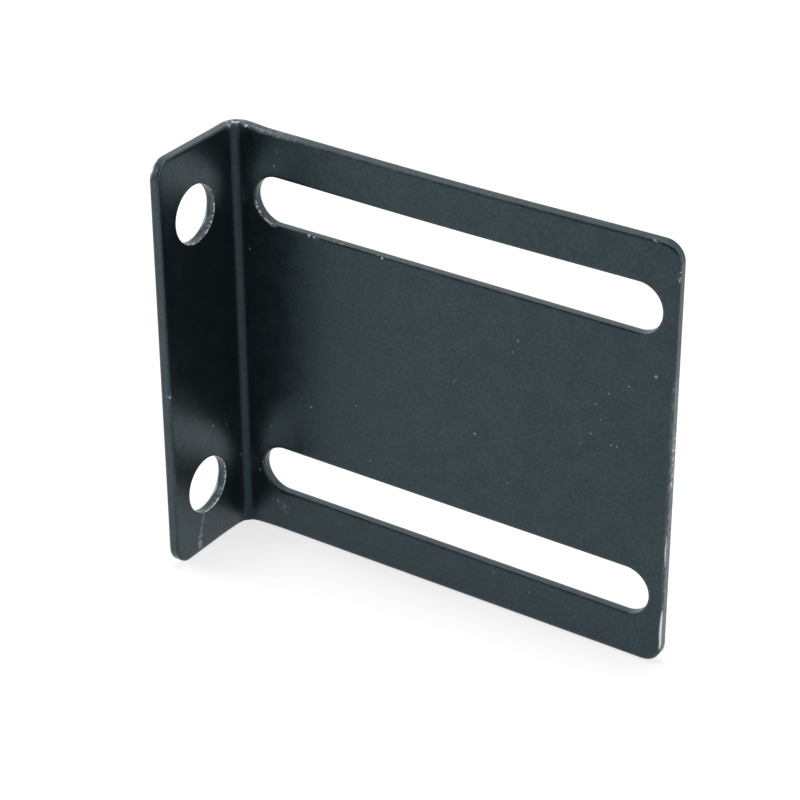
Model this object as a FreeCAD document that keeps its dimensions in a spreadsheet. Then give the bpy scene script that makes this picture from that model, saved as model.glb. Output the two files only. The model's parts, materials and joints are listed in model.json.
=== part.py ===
import FreeCAD, Part
import math
import os
import Sketcher

# Power strip bracket: one steel sheet, punched, folded once to a right angle and powder coated.
# The fold runs along +Z, the long slotted plate reaches along +X and the narrow flange along -Y.
# The origin lies on the flange's outer face, midway between its two screw holes.

# Driving dimensions in millimetres, over the coat: the sheet's alias, the size and what it measures
SIZES = (
    ("row_spacing", 31.75, "centre to centre of the two holes, and of the two slots in line with them"),
    ("end_margin", 7.525, "from the centre line of a row to the nearer end of the bracket"),
    ("plate_width", 52.1, "from the flange's outer face to the plate's free edge"),
    ("hole_setback", 7.95, "from the plate's outer face to the centre of a hole"),
    ("hole_edge", 5.65, "from the centre of a hole to the flange's free edge"),
    ("sheet_thickness", 1.2, "steel and coat"),
    ("bend_radius", 0.85, "inside of the fold"),
    ("hole_diameter", 6.35, "round screw holes in the flange"),
    ("slot_width", 5.5, "slots in the plate, over their two long sides"),
    ("slot_near_margin", 3.6, "from the flange's outer face to a slot's near end"),
    ("slot_far_margin", 1.6, "from a slot's far end to the plate's free edge"),
    ("plate_corner", 2.1, "radius of the plate's free corners"),
    ("flange_corner", 2.1, "radius of the flange's free corners"),
    ("edge_radius", 0.35, "outline on the outer side, rolled over when the blank was cut"),
    ("rim_radius", 0.4, "rims of holes and slots on the outer side, rolled over by the punch"),
    ("inner_bevel", 0.2, "every edge on the inner side, where only the burr was taken off"),
    ("fold_swell", 0.17, "how far the ends of the fold stand proud of the sheet's ends"),
    ("swell_reach", 3.0, "half the swelling's width, square to the fold's diagonal"),
)

NODE = "bracket"
SHEET = "Sizes"
HALF_HEIGHT = "(Sizes.row_spacing / 2 + Sizes.end_margin)"

# Places in a sketch, by the numbers that its constraints use
START, END, CENTRE = range(1, 4)
LEVEL_AXIS, UPRIGHT_AXIS = range(-1, -3, -1)
ORIGIN = (LEVEL_AXIS, START)
QUARTER_TURN = math.pi / 2

# Two faces that turn by more than this at their common edge meet in a sharp edge
SHARP_TURN = math.radians(30)
# A corner edge lies this close to the planes that name it
NEAR = 1e-4


def make_sheet(doc):
    """Write the driving dimensions to a spreadsheet and return it."""
    sheet = doc.addObject("Spreadsheet::Sheet", SHEET)
    for row, (alias, size, meaning) in enumerate(SIZES, start=1):
        sheet.set(f"A{row}", alias)
        sheet.set(f"B{row}", str(size))
        sheet.set(f"C{row}", meaning)
        sheet.setAlias(f"B{row}", alias)
    doc.recompute()
    return sheet


def origin_plane(body, role):
    """Return the body's own origin plane of that role."""
    return next(item for item in body.Origin.OriginFeatures if item.Role == role)


def new_sketch(body, name, role):
    """Attach an empty sketch to one of the body's origin planes."""
    sketch = body.newObject("Sketcher::SketchObject", name)
    sketch.AttachmentSupport = (origin_plane(body, role), [""])
    sketch.MapMode = "FlatFace"
    return sketch


def point(x, y):
    """Return a point in a sketch's plane."""
    return FreeCAD.Vector(x, y, 0)


def line(start, end):
    """Return a straight edge for a sketch."""
    return Part.LineSegment(point(*start), point(*end))


def arc(centre, radius, first, last):
    """Return an anticlockwise arc for a sketch, between two angles in quarter turns."""
    circle = Part.Circle(point(*centre), FreeCAD.Vector(0, 0, 1), radius)
    return Part.ArcOfCircle(circle, first * QUARTER_TURN, last * QUARTER_TURN)


def relate(sketch, *rules):
    """Add geometric constraints to a sketch."""
    for rule in rules:
        sketch.addConstraint(Sketcher.Constraint(*rule))


def dimension(sketch, name, formula, kind, *places):
    """Add a named dimension to a sketch and bind it to the spreadsheet."""
    value = sketch.evalExpression(formula)
    index = sketch.addConstraint(Sketcher.Constraint(kind, *places, float(value)))
    sketch.renameConstraint(index, name)
    sketch.setExpression(f"Constraints.{name}", formula)


def add_feature(body, kind, name, **settings):
    """Add a feature to the body, set its properties and make it the body's tip."""
    feature = body.newObject(f"PartDesign::{kind}", name)
    for key, value in settings.items():
        setattr(feature, key, value)
    body.Tip = feature
    return feature


def cut_through(body, sketch, name):
    """Punch a sketch right through the sheet, and make sure that it removed metal."""
    before = body.Shape.Volume
    sketch.recompute()
    pocket = add_feature(body, "Pocket", name, Profile=sketch, SideType="Symmetric", Type="ThroughAll")
    body.Document.recompute()
    if body.Shape.Volume >= before:
        raise RuntimeError(f"{name} cut nothing")
    return pocket


def mirror_down(body, name, *originals):
    """Repeat features of the upper half in the lower half, and make sure that they changed it."""
    before = body.Shape.Volume
    mirror = add_feature(body, "Mirrored", name, Originals=list(originals),
                         MirrorPlane=(origin_plane(body, "XY_Plane"), [""]))
    body.Document.recompute()
    if body.Shape.Volume >= before:
        raise RuntimeError(f"{name} cut nothing")
    return mirror


def round_edges(body, name, edges, alias):
    """Round the named edges of the body by a radius from the spreadsheet."""
    fillet = add_feature(body, "Fillet", name, Base=(body.Tip, edges))
    fillet.setExpression("Radius", f"{SHEET}.{alias}")
    body.Document.recompute()
    return fillet


def bevel_edges(body, name, edges, alias):
    """Bevel the named edges of the body by a size from the spreadsheet."""
    chamfer = add_feature(body, "Chamfer", name, Base=(body.Tip, edges))
    chamfer.setExpression("Size", f"{SHEET}.{alias}")
    body.Document.recompute()
    return chamfer


def section_sketch(body, size):
    """Draw the folded sheet's section: flange, fold and plate, with one wall all the way."""
    wall = size["sheet_thickness"]
    outside = size["bend_radius"] + wall
    top = size["hole_setback"]
    bend = (outside, top - outside)
    sketch = new_sketch(body, "Section", "XY_Plane")
    flange_out, fold_out, plate_out, plate_end, plate_in, fold_in, flange_in, flange_end = sketch.addGeometry([
        line((0, -size["hole_edge"]), (0, bend[1])),
        arc(bend, outside, 1, 2),
        line((outside, top), (size["plate_width"], top)),
        line((size["plate_width"], top), (size["plate_width"], top - wall)),
        line((size["plate_width"], top - wall), (outside, top - wall)),
        arc(bend, size["bend_radius"], 1, 2),
        line((wall, bend[1]), (wall, -size["hole_edge"])),
        line((wall, -size["hole_edge"]), (0, -size["hole_edge"])),
    ])
    relate(
        sketch,
        ("Tangent", flange_out, END, fold_out, END),
        ("Tangent", fold_out, START, plate_out, START),
        ("Coincident", plate_out, END, plate_end, START),
        ("Coincident", plate_end, END, plate_in, START),
        ("Tangent", plate_in, END, fold_in, START),
        ("Tangent", fold_in, END, flange_in, START),
        ("Coincident", flange_in, END, flange_end, START),
        ("Coincident", flange_end, END, flange_out, START),
        ("Coincident", fold_out, CENTRE, fold_in, CENTRE),
        ("Vertical", flange_out),
        ("Horizontal", plate_out),
        ("Vertical", plate_end),
        ("Horizontal", plate_in),
        ("Vertical", flange_in),
        ("Horizontal", flange_end),
        ("PointOnObject", flange_out, START, UPRIGHT_AXIS),
    )
    dimension(sketch, "wall", "Sizes.sheet_thickness", "DistanceX", flange_end, END, flange_end, START)
    dimension(sketch, "fold", "Sizes.bend_radius", "Radius", fold_in)
    dimension(sketch, "width", "Sizes.plate_width", "DistanceX", *ORIGIN, plate_end, START)
    dimension(sketch, "setback", "Sizes.hole_setback", "DistanceY", *ORIGIN, plate_out, END)
    dimension(sketch, "edge", "Sizes.hole_edge", "DistanceY", flange_out, START, *ORIGIN)
    return sketch


def end_sketch(body, size):
    """Draw what is trimmed off the upper end, square to the fold's diagonal.

    Its lower side is the sheet's end: straight along plate and flange, and swollen over the fold,
    where the metal on the inside was squeezed out. Three arcs of one radius make the swelling.
    """
    end = size["row_spacing"] / 2 + size["end_margin"]
    swell = size["fold_swell"]
    reach = size["swell_reach"]
    above = end + 2 * swell
    lean = 2 * math.atan(swell / reach)
    radius = reach / (2 * math.sin(lean))
    turn = lean / QUARTER_TURN
    sketch = new_sketch(body, "EndTrim", "XZ_Plane")
    diagonal = FreeCAD.Rotation(FreeCAD.Vector(0, 1, 0), 45)
    sketch.AttachmentOffset = FreeCAD.Placement(FreeCAD.Vector(0, 0, -size["hole_setback"]), diagonal)
    sketch.setExpression("AttachmentOffset.Base.z", "-Sizes.hole_setback")
    flange_end, rise, crown, fall, plate_end, far_side, top, near_side, peak = sketch.addGeometry([
        line((-size["plate_width"], end), (-reach, end)),
        arc((-reach, end + radius), radius, 3, 3 + turn),
        arc((0, end + swell - radius), radius, 1 - turn, 1 + turn),
        arc((reach, end + radius), radius, 3 - turn, 3),
        line((reach, end), (size["plate_width"], end)),
        line((size["plate_width"], end), (size["plate_width"], above)),
        line((size["plate_width"], above), (-size["plate_width"], above)),
        line((-size["plate_width"], above), (-size["plate_width"], end)),
        Part.Point(point(0, end + swell)),
    ])
    relate(
        sketch,
        ("Tangent", flange_end, END, rise, START),
        ("Tangent", rise, END, crown, END),
        ("Tangent", crown, START, fall, START),
        ("Tangent", fall, END, plate_end, START),
        ("Coincident", plate_end, END, far_side, START),
        ("Coincident", far_side, END, top, START),
        ("Coincident", top, END, near_side, START),
        ("Coincident", near_side, END, flange_end, START),
        ("Horizontal", flange_end),
        ("Horizontal", plate_end),
        ("Vertical", far_side),
        ("Horizontal", top),
        ("Vertical", near_side),
        ("Equal", rise, crown),
        ("Equal", fall, crown),
        ("PointOnObject", crown, CENTRE, UPRIGHT_AXIS),
        ("PointOnObject", peak, START, UPRIGHT_AXIS),
        ("PointOnObject", peak, START, crown),
    )
    dimension(sketch, "end", HALF_HEIGHT, "DistanceY", *ORIGIN, plate_end, START)
    dimension(sketch, "swell", "Sizes.fold_swell", "DistanceY", plate_end, START, peak, START)
    dimension(sketch, "reach", "Sizes.swell_reach", "DistanceX", *ORIGIN, plate_end, START)
    dimension(sketch, "far", "Sizes.plate_width", "DistanceX", *ORIGIN, far_side, START)
    dimension(sketch, "near", "Sizes.plate_width", "DistanceX", near_side, END, *ORIGIN)
    dimension(sketch, "above", "2 * Sizes.fold_swell", "DistanceY", far_side, START, far_side, END)
    return sketch


def slot_sketch(body, size):
    """Draw the upper slot, round at both ends."""
    half = size["slot_width"] / 2
    row = size["row_spacing"] / 2
    near = size["slot_near_margin"] + half
    far = size["plate_width"] - size["slot_far_margin"] - half
    sketch = new_sketch(body, "Slot", "XZ_Plane")
    near_end, lower, far_end, upper = sketch.addGeometry([
        arc((near, row), half, 1, 3),
        line((near, row - half), (far, row - half)),
        arc((far, row), half, 3, 5),
        line((far, row + half), (near, row + half)),
    ])
    relate(
        sketch,
        ("Tangent", near_end, END, lower, START),
        ("Tangent", lower, END, far_end, START),
        ("Tangent", far_end, END, upper, START),
        ("Tangent", upper, END, near_end, START),
        ("Equal", near_end, far_end),
        ("Horizontal", lower),
    )
    dimension(sketch, "half", "Sizes.slot_width / 2", "Radius", near_end)
    dimension(sketch, "row", "Sizes.row_spacing / 2", "DistanceY", *ORIGIN, near_end, CENTRE)
    dimension(sketch, "near", "Sizes.slot_near_margin + Sizes.slot_width / 2",
              "DistanceX", *ORIGIN, near_end, CENTRE)
    dimension(sketch, "far", "Sizes.plate_width - Sizes.slot_far_margin - Sizes.slot_width / 2",
              "DistanceX", *ORIGIN, far_end, CENTRE)
    return sketch


def hole_sketch(body, size):
    """Draw the upper screw hole on the flange."""
    row = size["row_spacing"] / 2
    sketch = new_sketch(body, "Hole", "YZ_Plane")
    circle = Part.Circle(point(0, row), FreeCAD.Vector(0, 0, 1), size["hole_diameter"] / 2)
    rim = sketch.addGeometry(circle)
    relate(sketch, ("PointOnObject", rim, CENTRE, UPRIGHT_AXIS))
    dimension(sketch, "bore", "Sizes.hole_diameter", "Diameter", rim)
    dimension(sketch, "row", "Sizes.row_spacing / 2", "DistanceY", *ORIGIN, rim, CENTRE)
    return sketch


def corner_edges(shape, axis, edge, end):
    """Name the short edges through the wall where a free edge of the sheet meets its two ends."""
    names = []
    for number, item in enumerate(shape.Edges, start=1):
        middle = item.CenterOfMass
        if abs(getattr(middle, axis) - edge) < NEAR and abs(abs(middle.z) - end) < NEAR:
            names.append(f"Edge{number}")
    return names


def outward(face, place):
    """Return a face's outward direction at a place on it."""
    return face.normalAt(*face.Surface.parameter(place))


def sharp_edges(shape):
    """Name every edge where two faces meet at an angle."""
    names = []
    for number, edge in enumerate(shape.Edges, start=1):
        middle = edge.valueAt((edge.FirstParameter + edge.LastParameter) / 2)
        faces = shape.ancestorsOfType(edge, Part.Face)
        if len(faces) == 2 and outward(faces[0], middle).getAngle(outward(faces[1], middle)) > SHARP_TURN:
            names.append(f"Edge{number}")
    return names


def depth(place, size):
    """Return how deep a place lies under the sheet's outer side, along flange, fold and plate alike."""
    outside = size["bend_radius"] + size["sheet_thickness"]
    over_flange = max(outside - place.x, 0)
    over_plate = max(place.y - size["hole_setback"] + outside, 0)
    return outside - math.hypot(over_flange, over_plate)


def outer_edges(shape, names, size):
    """Keep the named edges that lie on the sheet's outer side."""
    kept = []
    for name in names:
        edge = shape.getElement(name)
        middle = edge.valueAt((edge.FirstParameter + edge.LastParameter) / 2)
        if depth(middle, size) < size["sheet_thickness"] / 2:
            kept.append(name)
    return kept


def build_bracket(doc, sheet):
    """Build the bracket's body in order: sheet, ends, outline, punched rows and their rims."""
    size = {alias: float(sheet.get(alias)) for alias, _, _ in SIZES}
    end = size["row_spacing"] / 2 + size["end_margin"]
    body = doc.addObject("PartDesign::Body", "Bracket")
    body.Label = NODE
    doc.recompute()

    # The folded sheet, long enough for the swelling at the fold's two ends
    section = section_sketch(body, size)
    sheet_pad = add_feature(body, "Pad", "FoldedSheet", Profile=section, SideType="Symmetric")
    sheet_pad.setExpression("Length", f"2 * ({HALF_HEIGHT} + Sizes.fold_swell)")
    doc.recompute()

    # Both ends, straight but for the swelling
    upper_end = cut_through(body, end_sketch(body, size), "UpperEnd")
    mirror_down(body, "LowerEnd", upper_end)

    # Free corners of plate and flange
    plate_corners = corner_edges(body.Shape, "x", size["plate_width"], end)
    round_edges(body, "PlateCorners", plate_corners, "plate_corner")
    flange_corners = corner_edges(body.Shape, "y", -size["hole_edge"], end)
    round_edges(body, "FlangeCorners", flange_corners, "flange_corner")

    # The outline on the outer side, rolled over all the way round
    outline = outer_edges(body.Shape, sharp_edges(body.Shape), size)
    round_edges(body, "OuterOutline", outline, "edge_radius")

    # Punched rows: a slot and a hole in each
    upper_slot = cut_through(body, slot_sketch(body, size), "UpperSlot")
    upper_hole = cut_through(body, hole_sketch(body, size), "UpperHole")
    mirror_down(body, "LowerRow", upper_slot, upper_hole)

    # On the outer side the rims that punching left are the only sharp edges by now
    rims = outer_edges(body.Shape, sharp_edges(body.Shape), size)
    round_edges(body, "OuterRims", rims, "rim_radius")

    # What is still sharp is the inner side's outline and rims
    bevel_edges(body, "InnerEdges", sharp_edges(body.Shape), "inner_bevel")
    return body


def check(doc, bodies):
    """Stop if any object of the document failed, or a body isn't one sound solid."""
    for item in doc.Objects:
        if "Invalid" in item.State or "Error" in item.State:
            raise RuntimeError(f"{item.Name} failed: {item.State}")
    for body in bodies:
        if body.Shape.isNull() or not body.Shape.isValid() or len(body.Shape.Solids) != 1:
            raise RuntimeError(f"{body.Label} isn't one sound solid")


def main():
    """Build the document, check it and write each piece."""
    doc = FreeCAD.newDocument("PowerStripBracket")
    bodies = [build_bracket(doc, make_sheet(doc))]
    check(doc, bodies)
    os.makedirs("parts", exist_ok=True)
    for body in bodies:
        body.Shape.exportStep(os.path.join("parts", f"{body.Label}.step"))
        box = body.Shape.BoundBox
        print(body.Label, f"{box.XLength:.3f} x {box.YLength:.3f} x {box.ZLength:.3f} mm",
              f"{body.Shape.Volume:.2f} mm3", len(body.Shape.Faces), "faces")


main()
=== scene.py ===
import json
import math
from functools import partial, reduce

import bmesh
import bpy
from bpy.props import FloatProperty, FloatVectorProperty, PointerProperty
from bpy.types import Operator, Panel, PropertyGroup
from mathutils import Matrix, Vector
from mathutils.geometry import delaunay_2d_cdt


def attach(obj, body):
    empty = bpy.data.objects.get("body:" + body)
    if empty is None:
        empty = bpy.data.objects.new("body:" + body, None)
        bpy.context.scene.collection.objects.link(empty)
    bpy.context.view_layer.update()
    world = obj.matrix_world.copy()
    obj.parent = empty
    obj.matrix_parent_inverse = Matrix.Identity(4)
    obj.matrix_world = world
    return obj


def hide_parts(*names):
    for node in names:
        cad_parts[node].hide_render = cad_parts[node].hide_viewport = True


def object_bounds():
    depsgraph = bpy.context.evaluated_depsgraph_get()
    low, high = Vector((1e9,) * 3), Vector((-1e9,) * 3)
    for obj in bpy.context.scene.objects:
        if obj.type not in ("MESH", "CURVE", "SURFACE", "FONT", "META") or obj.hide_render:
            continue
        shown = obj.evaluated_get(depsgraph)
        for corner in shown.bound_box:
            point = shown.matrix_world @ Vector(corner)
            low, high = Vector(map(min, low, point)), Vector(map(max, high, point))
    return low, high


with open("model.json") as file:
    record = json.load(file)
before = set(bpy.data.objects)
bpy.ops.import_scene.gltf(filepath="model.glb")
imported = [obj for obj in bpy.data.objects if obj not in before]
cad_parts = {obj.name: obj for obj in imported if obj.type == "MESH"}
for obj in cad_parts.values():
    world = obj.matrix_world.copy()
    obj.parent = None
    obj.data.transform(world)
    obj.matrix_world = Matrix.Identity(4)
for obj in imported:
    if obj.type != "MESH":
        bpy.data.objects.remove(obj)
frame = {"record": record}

bl_info = {
    "name": "Power strip bracket",
    "version": (1, 0, 0),
    "blender": (4, 5, 0),
    "location": "View3D > Sidebar > Bracket",
    "description": "Punches, folds, coats and wears a slotted steel bracket, and sets it on a plain stage",
    "category": "Object",
}

NODE = "bracket"
MM = 0.001
QUARTER_TURN = math.pi / 2

# The solid that the sheet stands for, and the holes and slots that its record states
CAD_LOW, CAD_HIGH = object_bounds()
MOUNTS = {mount["name"]: mount for mount in frame["record"]["mounts"]}
HOLES = MOUNTS["rail_holes"]["dims"]
SLOTS = MOUNTS["strip_slots"]["dims"]

# How finely the sheet is divided
EDGE_STEP = 0.35 * MM
WALL_STEP = 0.2 * MM
FOLD_ROW_STEP = 3 * MM
FACE_MARGIN = 0.12 * MM
FOLD_COLUMNS = 16
FLARE_COLUMNS = 3
FLARE_ROWS = (0.4, 0.7, 1.0)
ROUND_STEPS = 6

# How the sheet folds, and how far the traces of cutting and folding reach
NEUTRAL_LAYER = 0.44
FLARE_REACH = 0.9 * MM
FLARE_HEIGHT = 2.2 * MM
SLANT_HEIGHT = 1.2 * MM
UPPER_SWELL_REACH = 3.5 * MM
LOWER_SWELL_REACH = 5 * MM
SWELL_START = 0.9
BOW_SHARPNESS = 1.5

# Where the coat is worn or dirty, and where some rims carry painted highlights, in millimetres: a stroke has
# two ends and a radius
CHIPPED_EDGES = (
    ((0.9, 6.7, 23.5), (1.6, 7.0, 23.5), 0.65),
    ((1.3, 5.8, 23.4), (1.5, 6.0, 23.4), 0.4),
    ((2.7, 6.8, 23.4), (2.9, 6.8, 23.4), 0.4),
    ((4.0, 6.9, 23.4), (4.3, 6.9, 23.4), 0.36),
    ((10.0, 6.8, 13.15), (11.0, 6.8, 13.15), 0.32),
    ((13.2, 6.8, 13.15), (14.0, 6.8, 13.15), 0.32),
    ((18.7, 6.8, 13.15), (19.4, 6.8, 13.15), 0.42),
    ((49.4, 6.8, 23.4), (49.6, 6.8, 23.4), 0.36),
    ((52.1, 6.8, 20.1), (52.1, 6.8, 20.5), 0.42),
    ((1.1, -5.6, -2.1), (1.1, -5.6, -2.4), 0.4),
    ((52.1, 7.25, 3.0), (52.1, 7.2, -2.6), 0.36),
)
# Partly scuffs and partly painted highlights: steel laid on the rims at the upper slot's left end and at the
# flange's top corner, where the rounded edges catch the light
SCUFFS_AND_PAINTED_HIGHLIGHTS = (
    ((3.75, 6.8, 15.0), (4.4, 6.8, 14.0), 0.35),
    ((4.4, 6.8, 14.0), (5.8, 6.8, 13.25), 0.35),
    ((0.1, -5.4, 22.3), (0.1, -4.4, 23.2), 0.3),
    ((0.95, -5.0, 22.9), (0.95, -2.0, 23.4), 0.15),
)
RUBBED_EDGES = (
    ((52.1, 7.3, 8.0), (52.1, 7.3, -22.0), 2.0),
    ((0.4, 6.4, 23.5), (8.0, 7.2, 23.4), 1.2),
)
# The last number is how much a scrape narrows towards its ends
SCRAPED_EDGES = (
    ((52.1, 6.8, -16.7), (52.0, 6.8, -21.5), 0.22, 0.9),
    ((52.1, 6.88, -8.3), (52.1, 6.88, -11.6), 0.12, 0.5),
)
# The last number is how thick the dust lies: two streaks under a hole, and a smudge on the plate
DUSTY_STROKES = (
    ((1.2, -1.0, -18.9), (1.2, -2.0, -22.8), 0.5, 0.35),
    ((1.2, -1.65, -21.4), (1.2, -1.95, -22.7), 0.6, 0.75),
    ((5.0, 6.75, -20.0), (6.4, 6.75, -20.6), 0.8, 0.42),
)
# A fleck has a centre and a radius
FLECKS = (
    ((10.0, 6.75, -6.85), 0.2), ((34.9, 6.75, 8.45), 0.14), ((50.1, 6.75, 9.1), 0.22),
    ((30.1, 6.75, -3.6), 0.19), ((27.6, 6.75, 1.7), 0.12), ((45.15, 6.75, 5.7), 0.13),
    ((15.7, 6.75, -4.9), 0.13), ((34.35, 6.75, 7.05), 0.11), ((17.35, 6.75, -11.0), 0.13),
    ((34.0, 6.75, -8.1), 0.12), ((46.25, 6.75, 0.15), 0.12), ((6.15, 6.75, 19.85), 0.17),
    ((32.6, 6.75, -19.3), 0.12), ((36.85, 6.75, -20.25), 0.12), ((6.55, 6.75, 21.5), 0.12),
    ((2.75, 6.75, 9.65), 0.15), ((3.05, 6.75, -16.8), 0.18), ((4.8, 6.75, -10.8), 0.14),
    ((3.5, 6.75, -15.7), 0.12), ((1.2, 1.3, -9.25), 0.16), ((1.2, 3.65, -10.2), 0.12),
    ((1.2, 5.9, -15.05), 0.14), ((45.6, 6.75, 0.1), 0.13), ((43.3, 6.75, 0.7), 0.13),
    ((42.2, 6.75, -0.8), 0.12), ((47.25, 6.75, 7.15), 0.12), ((43.75, 6.75, 4.15), 0.11),
    ((44.35, 6.75, 2.6), 0.1),
)

# How strongly the edges take that wear and those painted highlights
RIM_GAIN = 2.6
WALL_WEAR = 0.8
SCUFF_AND_HIGHLIGHT_GAIN = 2
SCRAPE_GAIN = 3
CUT_IN_HOLE = 0.08
CUT_ELSEWHERE = 0.12

# Scuffs in the screw holes that grow into a painted highlight towards each hole's lower right, in millimetres
# where it is a length
FLANGE_DEPTH = 2
HOLE_RIM_ROOM = 0.5
LOWER_RIGHT_START = 0.2
LOWER_RIGHT_SLOPE = 0.25
LOWER_RIGHT_SIDE = 0.7
LEAST_HOLE_SCUFF = 0.2
HOLE_WALL_SCUFF_AND_HIGHLIGHT = 0.3
HOLE_WALL_DEPTH = 0.6

# The coat's patterns: lumps to the metre, detail, and the two levels that some of them rise between
GRAIN = (2800, 1.0)
CLOUD = (420, 3.0)
PATCHES = (2300, 3.0, 0.42, 0.62)
CRUMBS = (2600, 3.0, 0.54, 0.64)
SPECKS = (3300, 1.0, 0.42, 0.58)
NOISE_RANGE = (0.3, 0.7)
LEAST_PATCH = 0.3
LEAST_SPECK = 0.12

# How much the patterns and the dirt change the coat
GRAIN_HEIGHT = 0.02 * MM
GRAIN_STRENGTH = 0.5
GRAIN_GLOSS = 0.11
CLOUD_GLOSS = 0.06
CLOUD_DULLNESS = 0.03
DUST_DULLNESS = 0.4
STEEL_DULLNESS = 0.15
CORNER_DULLNESS = 0.11
CORNER_GLOSS = 0.8
CORNER_REACH = 1.2 * MM
CORNER_SKIN = 0.3 * MM
FLECK_LEVEL = 0.8
STEEL_METALLIC = 0.4

# The stage, in metres
FLOOR_HALF = 3.0
FLOOR_GLOW = 0.7
LAMP_SIZE = 0.4
LAMP_REACH = 0.6
TOP_LAMP_REACH = 1.2
BRIGHT_SKY = 1.2
BRIGHT_SIDE = (-0.30, 0.90, 0.20)
SKY_TURN = (-0.1, 0.4)
WHITE = (1, 1, 1, 1)


def a_length(name, description, size):
    """A length that a user may change, in metres."""
    return FloatProperty(name=name, description=description, default=size, unit="LENGTH", precision=5)


def a_colour(name, description, value):
    """A colour that a user may change."""
    return FloatVectorProperty(name=name, description=description, default=(*value, 1), subtype="COLOR",
                               size=4, min=0, max=1)


def a_share(name, description, value):
    """A part of one that a user may change."""
    return FloatProperty(name=name, description=description, default=value, min=0, max=1, subtype="FACTOR")


def an_angle(name, description, degrees):
    """An angle that a user may change."""
    return FloatProperty(name=name, description=description, default=math.radians(degrees), subtype="ANGLE")


def a_power(name, description, watts):
    """A lamp's power that a user may change."""
    return FloatProperty(name=name, description=description, default=watts, min=0, unit="POWER")


class BracketSizes(PropertyGroup):
    """Sizes of the punched and folded sheet."""

    row_spacing: a_length("Row spacing", "Between the two holes, and between the two slots",
                          HOLES["spacing_y_mm"] * MM)
    end_margin: a_length("End margin", "From the centre of a row to the nearer end", 7.525 * MM)
    plate_width: a_length("Plate width", "From the flange's outer face to the plate's free edge", CAD_HIGH.x)
    hole_setback: a_length("Hole setback", "From the plate's outer face to the centre of a hole", CAD_HIGH.y)
    hole_edge: a_length("Hole edge", "From the centre of a hole to the flange's free edge", -CAD_LOW.y)
    sheet_thickness: a_length("Sheet thickness", "Steel and coat", 1.2 * MM)
    bend_radius: a_length("Bend radius", "Inside of the fold", 0.85 * MM)
    hole_radius: a_length("Hole radius", "Round screw holes in the flange", HOLES["hole_r_mm"] * MM)
    slot_radius: a_length("Slot radius", "Half the width of a slot", SLOTS["hole_r_mm"] * MM)
    slot_length: a_length("Slot length", "Over a slot's round ends", SLOTS["slot_length_mm"] * MM)
    slot_near_margin: a_length("Slot margin", "From the flange's outer face to a slot's near end", 3.6 * MM)
    corner_radius: a_length("Corner radius", "Free corners of plate and flange", 2.1 * MM)
    edge_radius: a_length("Edge radius", "Outline on the outer side, rolled over", 0.35 * MM)
    rim_radius: a_length("Rim radius", "Rims of holes and slots on the outer side, rolled over", 0.4 * MM)
    inner_depth: a_length("Inner depth", "How deep each inner edge is rounded, through the sheet", 0.13 * MM)
    outline_reach: a_length("Outline reach", "How far the inner face rolls off along the outline", 0.42 * MM)
    hole_reach: a_length("Hole reach", "How far the inner face rolls off round a hole", 0.12 * MM)
    slot_reach: a_length("Slot reach", "How far the inner face rolls off round a slot", 0.38 * MM)
    hole_fill: a_length("Hole fill", "How much the coat narrows each hole, all round", 0.03 * MM)
    slot_fill: a_length("Slot fill", "How much the coat narrows each slot, all round", 0.07 * MM)
    fold_flare: a_length("Fold flare", "How far the inside of the fold fills out at its two ends", 0.3 * MM)
    upper_swell: a_length("Upper swell", "How far the fold's upper end stands proud", 0.16 * MM)
    lower_swell: a_length("Lower swell", "How far the fold's lower end stands proud", 0.16 * MM)
    strip_bow: a_length("Strip bow", "How far the strip above the upper slot is bent inwards", 0.36 * MM)
    top_slant: a_length("Top slant", "How much lower the plate's top edge is cut on the inner side",
                        0.18 * MM)
    flange_rise: a_length("Flange rise", "How far the flange's free edge sits higher than its root",
                          0.14 * MM)


class CoatLook(PropertyGroup):
    """Colours and finish of the coat."""

    colour: a_colour("Coat", "The coat itself", (0.0006, 0.0008, 0.0009))
    sheen: a_colour("Sheen", "Tint of what the coat reflects", (0.57, 0.875, 1.0))
    thin_colour: a_colour("Thin coat", "Where the coat is thin over a cut edge", (0.09, 0.10, 0.105))
    # The steel colour also paints highlights on some rims
    steel: a_colour("Steel", "Where the coat is gone", (0.72, 0.74, 0.76))
    dust: a_colour("Dust", "Flecks, streaks and smudge", (0.30, 0.32, 0.33))
    roughness: a_share("Roughness", "How dull the coat is", 0.34)
    reflection: a_share("Reflection", "How much the coat reflects", 0.68)


class StageLook(PropertyGroup):
    """Floor, lamps and camera."""

    floor_colour: a_colour("Floor", "Plain pale floor", (0.9, 0.9, 0.9))
    dim_sky: a_share("Dim sky", "Level of the sky on the camera's side", 0.05)
    side_power: a_power("Side lamp", "Soft lamp on the left", 5.0)
    side_azimuth: an_angle("Side azimuth", "Side lamp's turn round the bracket", -159)
    side_elevation: an_angle("Side elevation", "Side lamp's height over the horizon", 18)
    top_power: a_power("Top lamp", "Soft lamp overhead", 6.5)
    fill_power: a_power("Fill lamp", "Soft lamp on the right", 2.0)
    fill_azimuth: an_angle("Fill azimuth", "Fill lamp's turn round the bracket", -6)
    fill_elevation: an_angle("Fill elevation", "Fill lamp's height over the horizon", 17)
    azimuth: an_angle("Azimuth", "Camera's turn round the bracket", 33.4447)
    elevation: an_angle("Elevation", "Camera's height over the horizon", 29.9902)
    roll: an_angle("Roll", "Camera's turn about its own line of sight", -0.2543)
    distance: a_length("Distance", "From the camera to the point that it aims at", 282.296 * MM)
    aim: FloatVectorProperty(name="Aim", description="Point in the middle of the picture",
                             subtype="XYZ", size=3, unit="LENGTH",
                             default=(16.5039 * MM, 13.7639 * MM, -7.3548 * MM))
    lens: FloatProperty(name="Lens", description="Focal length in millimetres", default=120.6652)
    sensor: FloatProperty(name="Sensor", description="Width of the sensor in millimetres", default=36)


# Small helpers for node trees


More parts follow.
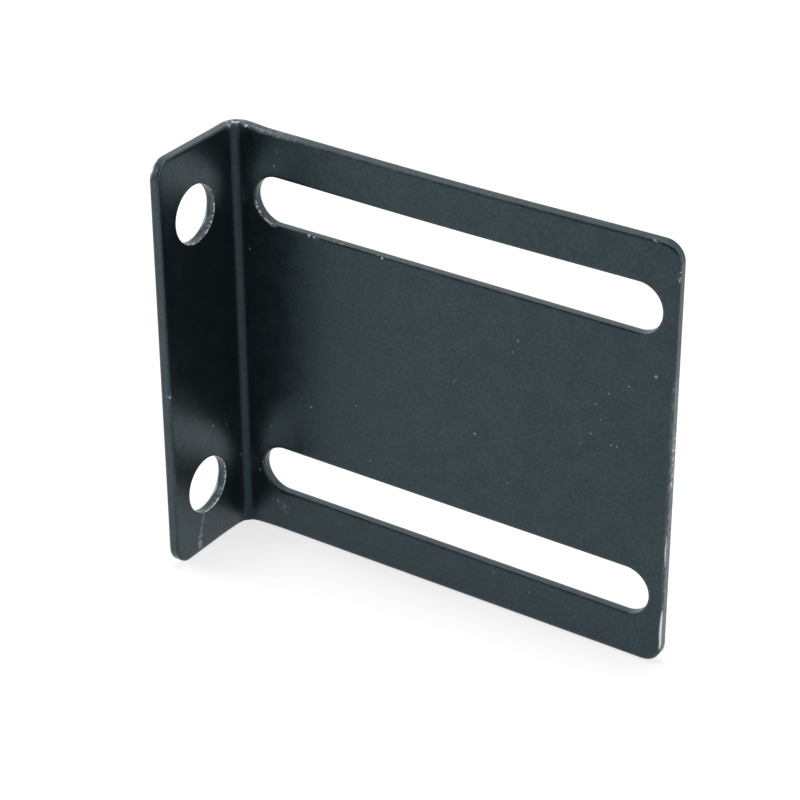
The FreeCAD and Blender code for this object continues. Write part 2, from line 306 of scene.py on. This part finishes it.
def add_node(tree, kind, inputs=(), **settings):
    """Add a node, set its properties, and give its inputs values or links."""
    node = tree.nodes.new(kind)
    for key, value in settings.items():
        setattr(node, key, value)
    for key, value in dict(inputs).items():
        if isinstance(value, bpy.types.NodeSocket):
            tree.links.new(value, node.inputs[key])
        else:
            node.inputs[key].default_value = value
    return node


def maths(tree, operation, *terms, clamp=False):
    """Add a Math node and return its result."""
    kind = "ShaderNodeMath"
    return add_node(tree, kind, enumerate(terms), operation=operation, use_clamp=clamp).outputs[0]


def plus(tree, *terms):
    """Add several values up."""
    return reduce(partial(maths, tree, "ADD"), terms)


def minus(tree, first, second):
    """Take a second value from a first one."""
    return maths(tree, "SUBTRACT", first, second)


def times(tree, *terms):
    """Multiply several values."""
    return reduce(partial(maths, tree, "MULTIPLY"), terms)


def strongest(tree, levels):
    """The highest of several values at each place."""
    return reduce(partial(maths, tree, "MAXIMUM"), levels)


def vector_maths(tree, operation, first, second):
    """Add a Vector Math node and return its result, which is a number for a product or a distance."""
    node = add_node(tree, "ShaderNodeVectorMath", {0: first, 1: second}, operation=operation)
    return node.outputs["Value" if operation in ("DOT_PRODUCT", "DISTANCE") else "Vector"]


def ramp(tree, value, start, end, low=0.0, high=1.0, smooth=True):
    """Map a value from one range to another, and hold it there outside that range."""
    node = add_node(tree, "ShaderNodeMapRange", {"Value": value, "From Min": start, "From Max": end,
                                                 "To Min": low, "To Max": high},
                    interpolation_type="SMOOTHSTEP" if smooth else "LINEAR", clamp=True)
    return node.outputs["Result"]


# The flat sheet, punched but not yet folded


class Blank:
    """The flat sheet's mesh while it is made.

    X runs along it from the start of the fold, Y goes through it from the inner face, and Z is the
    bracket's height. The marks tell how far a vertex is part of the inner rim, of the rolled outer
    edge and of the cut wall.
    """

    def __init__(self):
        self.places = []
        self.faces = []
        self.marks = {"rim": [], "roll": [], "wall": []}

    def add(self, along, depth, height, rim=0.0, roll=0.0, wall=0.0):
        """Add a vertex and return its number."""
        self.places.append((along, depth, height))
        self.marks["rim"].append(rim)
        self.marks["roll"].append(roll)
        self.marks["wall"].append(wall)
        return len(self.places) - 1

    def mesh(self, name):
        """Turn what was collected into a closed, smooth mesh whose faces point outwards."""
        mesh = bpy.data.meshes.new(name)
        mesh.from_pydata(self.places, [], self.faces)
        for mark, values in self.marks.items():
            mesh.attributes.new(mark, "FLOAT", "POINT").data.foreach_set("value", values)
        shell = bmesh.new()
        shell.from_mesh(mesh)
        bmesh.ops.recalc_face_normals(shell, faces=shell.faces)
        shell.to_mesh(mesh)
        shell.free()
        mesh.shade_smooth()
        return mesh


def evenly(start, end, step):
    """Places from start to end, both included, no further apart than step."""
    count = math.ceil((end - start) / step - 1e-6)
    if count < 1:
        return [start]
    return [start + (end - start) * place / count for place in range(count + 1)]


def rounded_loop(low, high, radius, fold=()):
    """Walk round a rounded rectangle: places on it, each with the direction that points out of it."""
    left, bottom = low
    right, top = high
    level = evenly(left + radius, right - radius, EDGE_STEP)
    if fold:
        level = (evenly(left + radius, fold[0], EDGE_STEP) + list(fold[1:-1])
                 + evenly(fold[-1], right - radius, EDGE_STEP))
    upright = evenly(bottom + radius, top - radius, EDGE_STEP)
    turns = evenly(0, QUARTER_TURN, EDGE_STEP / radius)[1:-1]
    sides = (
        ([(along, bottom) for along in level], (right - radius, bottom + radius)),
        ([(right, height) for height in upright], (right - radius, top - radius)),
        ([(along, top) for along in reversed(level)], (left + radius, top - radius)),
        ([(left, height) for height in reversed(upright)], (left + radius, bottom + radius)),
    )
    loop = []
    for number, (straight, centre) in enumerate(sides, start=-1):
        heading = number * QUARTER_TURN
        outwards = Vector((math.cos(heading), math.sin(heading)))
        loop += [(Vector(place), outwards) for place in straight]
        for turn in turns:
            outwards = Vector((math.cos(heading + turn), math.sin(heading + turn)))
            loop.append((Vector(centre) + outwards * radius, outwards))
    return loop


def edge_profile(sizes, reach, outer):
    """Follow the sheet's edge from the inner face to the outer one: each ring's inset, depth and marks.

    The gain brings the inner rim's mark to about one at its peak.
    """
    thickness, deep = sizes.sheet_thickness, sizes.inner_depth
    angles = evenly(0, QUARTER_TURN, QUARTER_TURN / ROUND_STEPS)
    rise = [(reach * (1 - math.sin(a)), deep * (1 - math.cos(a)),
             (RIM_GAIN * math.sin(a) ** 2 * math.cos(a), 0, math.sin(a) ** 2)) for a in angles]
    fall = [(outer * (1 - math.sin(a)), thickness - outer * (1 - math.cos(a)),
             (0, math.sin(2 * a), math.sin(a) ** 2)) for a in reversed(angles)]
    wall = [(0, depth, (0, 0, 1)) for depth in evenly(deep, thickness - outer, WALL_STEP)[1:-1]]
    plain = (0, 0, 0)
    first = (reach + FACE_MARGIN, 0, plain)
    last = (outer + FACE_MARGIN, thickness, plain)
    return [first] + rise + wall + fall + [last]


def add_edge(blank, loop, profile, into_metal):
    """Add one edge of the sheet, all the way round, and return its rings on the two faces."""
    rings = []
    for inset, depth, marks in profile:
        ring = []
        for place, outwards in loop:
            along, height = place + outwards * inset * into_metal
            ring.append(blank.add(along, depth, height, *marks))
        rings.append(ring)
    for near, far in zip(rings, rings[1:]):
        for here in range(len(loop)):
            blank.faces.append((near[here - 1], near[here], far[here], far[here - 1]))
    return rings[0], rings[-1]


def fill_face(blank, rings, depth, columns, half_height):
    """Close one face of the sheet between its outline and its openings, with columns by the fold."""
    numbers = [number for ring in rings for number in ring]
    owner = {number: ring_number for ring_number, ring in enumerate(rings) for number in ring}
    rows = evenly(-half_height + FOLD_ROW_STEP, half_height - FOLD_ROW_STEP, FOLD_ROW_STEP)
    for row in FLARE_ROWS:
        rows += [half_height - row * FLARE_HEIGHT, row * FLARE_HEIGHT - half_height]
    numbers += [blank.add(along, depth, height) for along in columns for height in rows]
    order = {number: place for place, number in enumerate(numbers)}
    flat = [Vector((blank.places[number][0], blank.places[number][2])) for number in numbers]
    bounds = [(order[ring[here - 1]], order[ring[here]]) for ring in rings for here in range(len(ring))]
    found = delaunay_2d_cdt(flat, bounds, [], 0, 1e-9, True)
    sources = [numbers[origin[0]] for origin in found[3]]
    for triangle in found[2]:
        corners = [sources[corner] for corner in triangle]
        owners = {owner.get(corner, 0) for corner in corners}
        if len(owners) > 1 or owners == {0}:
            blank.faces.append(corners)


def bend_allowance(sizes):
    """Length of flat sheet that the fold takes up, at the layer that keeps its length."""
    return (sizes.bend_radius + NEUTRAL_LAYER * sizes.sheet_thickness) * QUARTER_TURN


def punched_blank(sizes):
    """Make the flat sheet with its rounded outline, slots and holes."""
    thickness = sizes.sheet_thickness
    fold_length = bend_allowance(sizes)
    fold = evenly(0, fold_length, fold_length / FOLD_COLUMNS)
    outside = sizes.bend_radius + thickness
    half_height = sizes.row_spacing / 2 + sizes.end_margin
    plate_start = fold_length - outside
    flange_start = -sizes.hole_setback + outside

    outline = rounded_loop((flange_start - sizes.hole_edge, -half_height),
                           (plate_start + sizes.plate_width, half_height), sizes.corner_radius, fold)
    blank = Blank()
    edges = [add_edge(blank, outline, edge_profile(sizes, sizes.outline_reach, sizes.edge_radius), -1)]
    hole_edge = edge_profile(sizes, sizes.hole_reach, sizes.rim_radius)
    slot_edge = edge_profile(sizes, sizes.slot_reach, sizes.rim_radius)
    hole_radius = sizes.hole_radius - sizes.hole_fill
    slot_radius = sizes.slot_radius - sizes.slot_fill
    slot_start = plate_start + sizes.slot_near_margin + sizes.slot_fill
    slot_end = plate_start + sizes.slot_near_margin + sizes.slot_length - sizes.slot_fill
    for row in (-sizes.row_spacing / 2, sizes.row_spacing / 2):
        slot = rounded_loop((slot_start, row - slot_radius), (slot_end, row + slot_radius), slot_radius)
        hole = rounded_loop((flange_start - hole_radius, row - hole_radius),
                            (flange_start + hole_radius, row + hole_radius), hole_radius)
        edges += [add_edge(blank, slot, slot_edge, 1), add_edge(blank, hole, hole_edge, 1)]
    inner_rings, outer_rings = zip(*edges)
    step = FLARE_REACH / FLARE_COLUMNS
    columns = (evenly(-FLARE_REACH, -step, step) + fold
               + evenly(fold_length + step, fold_length + FLARE_REACH, step))
    fill_face(blank, inner_rings, 0, columns, half_height)
    fill_face(blank, outer_rings, thickness, columns, half_height)
    return blank.mesh("punched_blank")


# The fold


def fold_tree():
    """Geometry nodes that fold a flat sheet by a right angle and leave the traces of the work on it.

    The fold's inside fills out and its metal swells at both ends, the plate's top edge is cut at a slant,
    the flange sits a little out of square, and the strip over the upper slot is bowed.
    """
    tree = bpy.data.node_groups.new("Fold sheet", "GeometryNodeTree")
    tree.interface.new_socket("Geometry", in_out="INPUT", socket_type="NodeSocketGeometry")
    for name in ("Bend Radius", "Bend Allowance", "Bend Centre X", "Bend Centre Y", "Half Height",
                 "Upper Swell", "Upper Swell Place", "Upper Swell Reach",
                 "Lower Swell", "Lower Swell Place", "Lower Swell Reach",
                 "Strip Bow", "Strip Start", "Strip End", "Strip Bottom", "Flange Rise", "Flange Length",
                 "Sheet Thickness", "Fold Flare", "Flare Reach", "Flare Height", "Top Slant", "Slant Height"):
        socket = tree.interface.new_socket(name, in_out="INPUT", socket_type="NodeSocketFloat")
        socket.subtype = "DISTANCE"
    tree.interface.new_socket("Material", in_out="INPUT", socket_type="NodeSocketMaterial")
    tree.interface.new_socket("Geometry", in_out="OUTPUT", socket_type="NodeSocketGeometry")

    given = add_node(tree, "NodeGroupInput").outputs
    position = add_node(tree, "GeometryNodeInputPosition").outputs[0]
    along, depth, height = add_node(tree, "ShaderNodeSeparateXYZ", {0: position}).outputs

    # Turn of the fold, and the straight runs before and after it
    turn = times(tree, maths(tree, "DIVIDE", along, given["Bend Allowance"], clamp=True), QUARTER_TURN)
    before = maths(tree, "MINIMUM", along, 0.0)
    after = maths(tree, "MAXIMUM", minus(tree, along, given["Bend Allowance"]), 0.0)

    # The inside of the fold, filled out at both ends
    middle = times(tree, given["Bend Allowance"], 0.5)
    aside = maths(tree, "ABSOLUTE", minus(tree, along, middle))
    near_fold = ramp(tree, aside, plus(tree, middle, given["Flare Reach"]), 0.0)
    to_end = minus(tree, given["Half Height"], maths(tree, "ABSOLUTE", height))
    near_end = ramp(tree, to_end, given["Flare Height"], 0.0)
    inwards = minus(tree, 1.0, maths(tree, "DIVIDE", depth, given["Sheet Thickness"]))
    flare = times(tree, near_fold, near_end, inwards, given["Fold Flare"])
    radius = minus(tree, plus(tree, given["Bend Radius"], depth), flare)
    across = times(tree, radius, maths(tree, "COSINE", turn))
    out = times(tree, radius, maths(tree, "SINE", turn))
    x = plus(tree, minus(tree, given["Bend Centre X"], across), after)
    y = plus(tree, given["Bend Centre Y"], out, before)

    # Metal squeezed out at the fold's two ends
    z = height
    swell_start = times(tree, given["Half Height"], SWELL_START)
    for end, side in (("Upper", 1.0), ("Lower", -1.0)):
        away = maths(tree, "ABSOLUTE", minus(tree, along, given[f"{end} Swell Place"]))
        hump = ramp(tree, away, given[f"{end} Swell Reach"], 0.0)
        near_end = ramp(tree, times(tree, height, side), swell_start, given["Half Height"])
        z = plus(tree, z, times(tree, hump, near_end, given[f"{end} Swell"], side))

    # The plate's top edge, cut at a slant
    near_top = ramp(tree, minus(tree, given["Half Height"], height), given["Slant Height"], 0.0)
    past_fold = ramp(tree, after, 0.0, given["Bend Allowance"])
    z = minus(tree, z, times(tree, inwards, near_top, past_fold, given["Top Slant"]))

    # The flange, folded a little out of square
    slope = maths(tree, "DIVIDE", given["Flange Rise"], given["Flange Length"])
    z = minus(tree, z, times(tree, before, slope))

    # The strip over the upper slot, bent inwards between the slot's ends
    span = maths(tree, "DIVIDE", minus(tree, x, given["Strip Start"]),
                 minus(tree, given["Strip End"], given["Strip Start"]), clamp=True)
    arch = maths(tree, "POWER", maths(tree, "SINE", times(tree, span, math.pi)), BOW_SHARPNESS)
    lean = ramp(tree, height, 0.0, given["Half Height"], smooth=False)
    over = maths(tree, "GREATER_THAN", height, given["Strip Bottom"])
    y = minus(tree, y, times(tree, arch, lean, over, given["Strip Bow"]))

    folded = add_node(tree, "ShaderNodeCombineXYZ", {0: x, 1: y, 2: z}).outputs[0]
    moved = add_node(tree, "GeometryNodeSetPosition", {"Geometry": given["Geometry"], "Position": folded})
    whole = add_node(tree, "GeometryNodeRealizeInstances", {"Geometry": moved.outputs[0]})
    coated = add_node(tree, "GeometryNodeSetMaterial",
                      {"Geometry": whole.outputs[0], "Material": given["Material"]})
    add_node(tree, "NodeGroupOutput", {"Geometry": coated.outputs[0]})
    return tree


def folded_sheet(sizes, material):
    """Fold the punched blank and return the bracket as a plain mesh object."""
    outside = sizes.bend_radius + sizes.sheet_thickness
    allowance = bend_allowance(sizes)
    inputs = {
        "Bend Radius": sizes.bend_radius,
        "Bend Allowance": allowance,
        "Bend Centre X": outside,
        "Bend Centre Y": sizes.hole_setback - outside,
        "Half Height": sizes.row_spacing / 2 + sizes.end_margin,
        "Upper Swell": sizes.upper_swell,
        "Upper Swell Place": allowance,
        "Upper Swell Reach": UPPER_SWELL_REACH,
        "Lower Swell": sizes.lower_swell,
        "Lower Swell Place": allowance / 2,
        "Lower Swell Reach": LOWER_SWELL_REACH,
        "Strip Bow": sizes.strip_bow,
        "Strip Start": sizes.slot_near_margin,
        "Strip End": sizes.slot_near_margin + sizes.slot_length,
        "Strip Bottom": sizes.row_spacing / 2,
        "Flange Rise": sizes.flange_rise,
        "Flange Length": sizes.hole_edge + sizes.hole_setback - outside,
        "Sheet Thickness": sizes.sheet_thickness,
        "Fold Flare": sizes.fold_flare,
        "Flare Reach": FLARE_REACH,
        "Flare Height": FLARE_HEIGHT,
        "Top Slant": sizes.top_slant,
        "Slant Height": SLANT_HEIGHT,
        "Material": material,
    }
    flat = bpy.data.objects.new("flat_sheet", punched_blank(sizes))
    bpy.context.scene.collection.objects.link(flat)
    fold = flat.modifiers.new("Fold", "NODES")
    fold.node_group = fold_tree()
    for item in fold.node_group.interface.items_tree:
        if item.in_out == "INPUT" and item.name in inputs:
            fold[item.identifier] = inputs[item.name]
    folded = flat.evaluated_get(bpy.context.evaluated_depsgraph_get())
    mesh = bpy.data.meshes.new_from_object(folded)
    mesh.name = "folded_sheet"
    mark_wear(mesh)
    bpy.data.objects.remove(flat)
    bracket = bpy.data.objects.new("folded_sheet", mesh)
    bpy.context.scene.collection.objects.link(bracket)
    return bracket


# Wear on the edges, kept on the sheet's vertices


def closeness(place, start, end, radius, taper=0.0):
    """How close a place is to a stroke, all in millimetres: one on it, nothing beyond its radius."""
    start, run = Vector(start), Vector(end) - Vector(start)
    gone = min(max((place - start).dot(run) / run.length_squared, 0), 1)
    radius *= 1 - taper * (2 * gone - 1) ** 2
    return max(1 - (place - start - run * gone).length / radius, 0)


def nearest(place, strokes):
    """How close a place is to the nearest of several strokes."""
    return max(closeness(place, *item) for item in strokes)


def hole_marks(place):
    """Whether a place lies in a screw hole, and how far to the hole's lower right, where its painted
    highlight grows strongest.
    """
    row = math.copysign(HOLES["spacing_y_mm"] / 2, place.z)
    reach = math.hypot(place.y, place.z - row)
    if place.x > FLANGE_DEPTH or reach > HOLES["hole_r_mm"] + HOLE_RIM_ROOM:
        return 0, 0
    level = LOWER_RIGHT_START + LOWER_RIGHT_SLOPE * (LOWER_RIGHT_SIDE * place.y - place.z + row)
    return 1, min(max(level, 0), 1)


def mark_wear(mesh):
    """Note on every vertex how far its edge's coat is worn through, rubbed or thin, and where a painted
    highlight in steel lies on a rim.
    """
    marks = {"cut": [], "chip": [], "scrape": [], "scuff_and_highlight": [], "rub": []}
    rims, rolls, walls = [[item.value for item in mesh.attributes[name].data]
                          for name in ("rim", "roll", "wall")]
    for vertex, rim, roll, wall in zip(mesh.vertices, rims, rolls, walls):
        place = vertex.co / MM
        edge = max(rim, WALL_WEAR * wall)
        inside, lower_right = hole_marks(place)
        # Painted highlight, partly scuff: steel on each hole's rim, faint all round and full towards the
        # lower right, and on the wall there
        hole_rim_scuff_and_highlight = rim * (LEAST_HOLE_SCUFF + (1 - LEAST_HOLE_SCUFF) * lower_right)
        hole_wall_scuff_and_highlight = HOLE_WALL_SCUFF_AND_HIGHLIGHT * wall * lower_right * max(place.x - HOLE_WALL_DEPTH, 0)
        # Steel on rims near these strokes: partly scuffs, partly painted highlights
        scuff_and_highlight = max(rim, roll) * min(SCUFF_AND_HIGHLIGHT_GAIN * nearest(place, SCUFFS_AND_PAINTED_HIGHLIGHTS), 1)
        marks["cut"].append(wall * (CUT_IN_HOLE if inside else CUT_ELSEWHERE))
        marks["chip"].append(edge * nearest(place, CHIPPED_EDGES))
        marks["scrape"].append(rim * min(SCRAPE_GAIN * nearest(place, SCRAPED_EDGES), 1))
        marks["scuff_and_highlight"].append(max(scuff_and_highlight, inside * max(hole_rim_scuff_and_highlight, hole_wall_scuff_and_highlight)))
        marks["rub"].append(edge * nearest(place, RUBBED_EDGES))
    for name, levels in marks.items():
        mesh.attributes.new(name, "FLOAT", "POINT").data.foreach_set("value", levels)


# The coat


def mark(tree, name):
    """Read one kind of wear from the sheet's vertices."""
    return add_node(tree, "ShaderNodeAttribute", attribute_name=name).outputs["Fac"]


def noise(tree, place, scale, detail):
    """Add a noise of so many lumps to the metre and return its level."""
    inputs = {"Vector": place, "Scale": scale, "Detail": detail}
    return add_node(tree, "ShaderNodeTexNoise", inputs).outputs[0]


def pattern(tree, place, scale, detail, start, end, low=0.0):
    """Add a noise that rises from a low level to one between two of its own levels."""
    return ramp(tree, noise(tree, place, scale, detail), start, end, low)


def stroke(tree, place, start, end, radius):
    """How close a place is to a stroke given in millimetres: one on it, nothing beyond its radius."""
    start, end = Vector(start) * MM, Vector(end) * MM
    run = end - start
    offset = vector_maths(tree, "SUBTRACT", place, start)
    gone = vector_maths(tree, "DOT_PRODUCT", offset, run / run.length_squared)
    held = maths(tree, "ADD", gone, 0.0, clamp=True)
    foot = add_node(tree, "ShaderNodeVectorMath", {0: run, "Scale": held}, operation="SCALE").outputs[0]
    return ramp(tree, vector_maths(tree, "DISTANCE", offset, foot), radius * MM, 0.0)


def fleck(tree, place, centre, radius):
    """A small round fleck, given in millimetres."""
    away = vector_maths(tree, "DISTANCE", place, Vector(centre) * MM)
    return ramp(tree, away, radius * MM, 0.0, smooth=False)


def blend(tree, level, first, second):
    """Go from a first colour to a second one."""
    return add_node(tree, "ShaderNodeMix", {"Factor": level, "A": first, "B": second},
                    data_type="RGBA").outputs["Result"]


def inside_corner(tree, place, sizes):
    """How deep a place lies in the inside of the fold, where powder settles badly."""
    outside = sizes.bend_radius + sizes.sheet_thickness
    half = sizes.sheet_thickness / 2
    x, y = add_node(tree, "ShaderNodeSeparateXYZ", {0: place}).outputs[:2]
    away = maths(tree, "MAXIMUM", minus(tree, x, outside), minus(tree, sizes.hole_setback - outside, y))
    inwards = maths(tree, "MINIMUM", minus(tree, x, half), minus(tree, sizes.hole_setback - half, y))
    return times(tree, ramp(tree, away, CORNER_REACH, 0.0), ramp(tree, inwards, 0.0, CORNER_SKIN))


def coat_material(look, sizes):
    """Satin black coat with a fine grain, thin on cut edges, worn to steel in places, a little dusty, and
    with painted highlights in steel on some rims.
    """
    material = bpy.data.materials.new("black_coat")
    material.use_nodes = True
    tree = material.node_tree
    shader = tree.nodes["Principled BSDF"]
    place = add_node(tree, "ShaderNodeTexCoord").outputs["Object"]
    grain = noise(tree, place, *GRAIN)
    cloud = noise(tree, place, *CLOUD)
    patches = pattern(tree, place, *PATCHES)
    crumbs = pattern(tree, place, *CRUMBS)
    specks = pattern(tree, place, *SPECKS, LEAST_SPECK)
    corner = inside_corner(tree, place, sizes)

    # Steel where the coat is chipped, scraped or scuffed from an edge, steel as painted highlights on some
    # rims, and grey where it is thin
    steel_and_highlight = strongest(tree, [times(tree, mark(tree, "chip"), crumbs), mark(tree, "scrape"),
                            times(tree, mark(tree, "scuff_and_highlight"), specks)])
    broken = plus(tree, times(tree, patches, 1 - LEAST_PATCH), LEAST_PATCH)
    thin = maths(tree, "MULTIPLY", plus(tree, mark(tree, "cut"), mark(tree, "rub")), broken, clamp=True)

    # Dust in flecks, streaks and a smudge
    flecks = strongest(tree, [fleck(tree, place, *item) for item in FLECKS])
    streaks = strongest(tree, [times(tree, stroke(tree, place, *shape), level)
                               for *shape, level in DUSTY_STROKES])
    dusty = strongest(tree, [times(tree, flecks, FLECK_LEVEL), times(tree, streaks, patches)])

    paint = blend(tree, thin, look.colour, look.thin_colour)
    paint = blend(tree, steel_and_highlight, paint, look.steel)
    paint = blend(tree, dusty, paint, look.dust)
    dull = ramp(tree, cloud, *NOISE_RANGE, look.roughness - CLOUD_DULLNESS, look.roughness + CLOUD_DULLNESS)
    for level, rise in ((dusty, DUST_DULLNESS), (steel_and_highlight, STEEL_DULLNESS), (corner, CORNER_DULLNESS)):
        dull = maths(tree, "ADD", dull, times(tree, level, rise), clamp=True)
    least, most = look.reflection * (1 - GRAIN_GLOSS), look.reflection * (1 + GRAIN_GLOSS)
    gloss = times(tree, ramp(tree, grain, *NOISE_RANGE, least, most),
                  ramp(tree, cloud, *NOISE_RANGE, 1 - CLOUD_GLOSS, 1 + CLOUD_GLOSS),
                  ramp(tree, corner, 0.0, 1.0, 1.0, CORNER_GLOSS))
    bump = add_node(tree, "ShaderNodeBump",
                    {"Height": grain, "Strength": GRAIN_STRENGTH, "Distance": GRAIN_HEIGHT})

    shader.inputs["Specular Tint"].default_value = look.sheen
    for name, level in (("Base Color", paint), ("Metallic", times(tree, steel_and_highlight, STEEL_METALLIC)),
                        ("Specular IOR Level", gloss), ("Roughness", dull), ("Normal", bump.outputs[0])):
        tree.links.new(level, shader.inputs[name])
    return material


class BRACKET_OT_sheet(Operator):
    """Punch the sheet, fold it and give it its worn black coat"""

    bl_idname = "bracket.sheet"
    bl_label = "Make the sheet"
    bl_options = {"REGISTER", "UNDO"}

    def execute(self, context):
        sizes = context.scene.bracket_sizes
        bracket = folded_sheet(sizes, coat_material(context.scene.bracket_coat, sizes))
        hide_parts(NODE)
        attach(bracket, "root")
        return {"FINISHED"}


# The stage


def floor_material(colour):
    """Pale floor that shows as white where no shadow lies on it."""
    material = bpy.data.materials.new("stage_floor")
    material.use_nodes = True
    tree = material.node_tree
    tree.nodes.clear()
    paint = add_node(tree, "ShaderNodeBsdfDiffuse", {"Color": colour})
    glow = add_node(tree, "ShaderNodeEmission", {"Color": WHITE, "Strength": 1.0})
    path = add_node(tree, "ShaderNodeLightPath").outputs
    seen = strongest(tree, [path["Is Camera Ray"], path["Is Glossy Ray"], path["Is Transmission Ray"]])
    mixed = add_node(tree, "ShaderNodeMixShader", {0: times(tree, seen, FLOOR_GLOW), 1: paint.outputs[0],
                                                   2: glow.outputs[0]})
    add_node(tree, "ShaderNodeOutputMaterial", {"Surface": mixed.outputs[0]})
    return material


def add_floor(look):
    """Lay a wide floor under the bracket."""
    mesh = bpy.data.meshes.new("stage_floor")
    half, level = FLOOR_HALF, CAD_LOW.z
    corners = [(-half, -half, level), (half, -half, level), (half, half, level), (-half, half, level)]
    mesh.from_pydata(corners, [], [(0, 1, 2, 3)])
    mesh.materials.append(floor_material(look.floor_colour))
    floor = bpy.data.objects.new("stage_floor", mesh)
    bpy.context.scene.collection.objects.link(floor)


def add_world(look):
    """Light the stage from a white sky that is dim on the camera's side."""
    world = bpy.data.worlds.new("studio")
    world.use_nodes = True
    tree = world.node_tree
    sky = tree.nodes["Background"]
    way = add_node(tree, "ShaderNodeTexCoord").outputs["Generated"]
    side = vector_maths(tree, "DOT_PRODUCT", way, BRIGHT_SIDE)
    sky.inputs["Color"].default_value = WHITE
    tree.links.new(ramp(tree, side, *SKY_TURN, look.dim_sky, BRIGHT_SKY), sky.inputs["Strength"])
    bpy.context.scene.world = world


def add_lamp(name, power, reach, azimuth, elevation):
    """Hang a large soft lamp that shines at the bracket."""
    data = bpy.data.lights.new(name, "AREA")
    data.energy = power
    data.size = LAMP_SIZE
    lamp = bpy.data.objects.new(name, data)
    level = math.cos(elevation)
    way = Vector((level * math.cos(azimuth), level * math.sin(azimuth), math.sin(elevation)))
    lamp.location = way * reach
    lamp.rotation_euler = way.to_track_quat("Z", "Y").to_euler()
    bpy.context.scene.collection.objects.link(lamp)


def add_camera(look):
    """Put the camera where the photograph was taken from."""
    azimuth, elevation = look.azimuth, look.elevation
    back = Vector((math.sin(azimuth) * math.cos(elevation), -math.cos(azimuth) * math.cos(elevation),
                   math.sin(elevation)))
    right = Vector((math.cos(azimuth), math.sin(azimuth), 0))
    turn = Matrix((right, back.cross(right), back)).transposed().to_4x4()
    data = bpy.data.cameras.new("camera")
    data.lens = look.lens
    data.sensor_width = look.sensor
    camera = bpy.data.objects.new("camera", data)
    place = Matrix.Translation(Vector(look.aim) + back * look.distance)
    camera.matrix_world = place @ turn @ Matrix.Rotation(look.roll, 4, "Z")
    bpy.context.scene.collection.objects.link(camera)
    bpy.context.scene.camera = camera


class BRACKET_OT_stage(Operator):
    """Lay the floor, light it and place the camera"""

    bl_idname = "bracket.stage"
    bl_label = "Set the stage"
    bl_options = {"REGISTER", "UNDO"}

    def execute(self, context):
        look = context.scene.bracket_stage
        add_floor(look)
        add_world(look)
        add_lamp("top_lamp", look.top_power, TOP_LAMP_REACH, 0, QUARTER_TURN)
        add_lamp("side_lamp", look.side_power, LAMP_REACH, look.side_azimuth, look.side_elevation)
        add_lamp("fill_lamp", look.fill_power, LAMP_REACH, look.fill_azimuth, look.fill_elevation)
        add_camera(look)
        context.scene.view_settings.view_transform = "Standard"
        return {"FINISHED"}


class BRACKET_PT_panel(Panel):
    """Lists the bracket's sizes, finish and stage with the operators that make them"""

    bl_idname = "BRACKET_PT_panel"
    bl_label = "Power strip bracket"
    bl_space_type = "VIEW_3D"
    bl_region_type = "UI"
    bl_category = "Bracket"

    def draw(self, context):
        groups = (("Sheet", "bracket_sizes"), ("Coat", "bracket_coat"), ("Stage", "bracket_stage"))
        for title, group in groups:
            box = self.layout.box()
            box.label(text=title)
            owner = getattr(context.scene, group)
            for name in owner.__annotations__:
                box.prop(owner, name)
        self.layout.operator(BRACKET_OT_sheet.bl_idname)
        self.layout.operator(BRACKET_OT_stage.bl_idname)


CLASSES = (BracketSizes, CoatLook, StageLook, BRACKET_OT_sheet, BRACKET_OT_stage, BRACKET_PT_panel)


def register():
    """Make the sizes, operators and panel known."""
    for item in CLASSES:
        bpy.utils.register_class(item)
    bpy.types.Scene.bracket_sizes = PointerProperty(type=BracketSizes)
    bpy.types.Scene.bracket_coat = PointerProperty(type=CoatLook)
    bpy.types.Scene.bracket_stage = PointerProperty(type=StageLook)


def unregister():
    """Take them away again."""
    del bpy.types.Scene.bracket_stage
    del bpy.types.Scene.bracket_coat
    del bpy.types.Scene.bracket_sizes
    for item in reversed(CLASSES):
        bpy.utils.unregister_class(item)


def main():
    """Build the bracket and its stage."""
    register()
    bpy.ops.bracket.sheet()
    bpy.ops.bracket.stage()


if __name__ == "__main__":
    main()
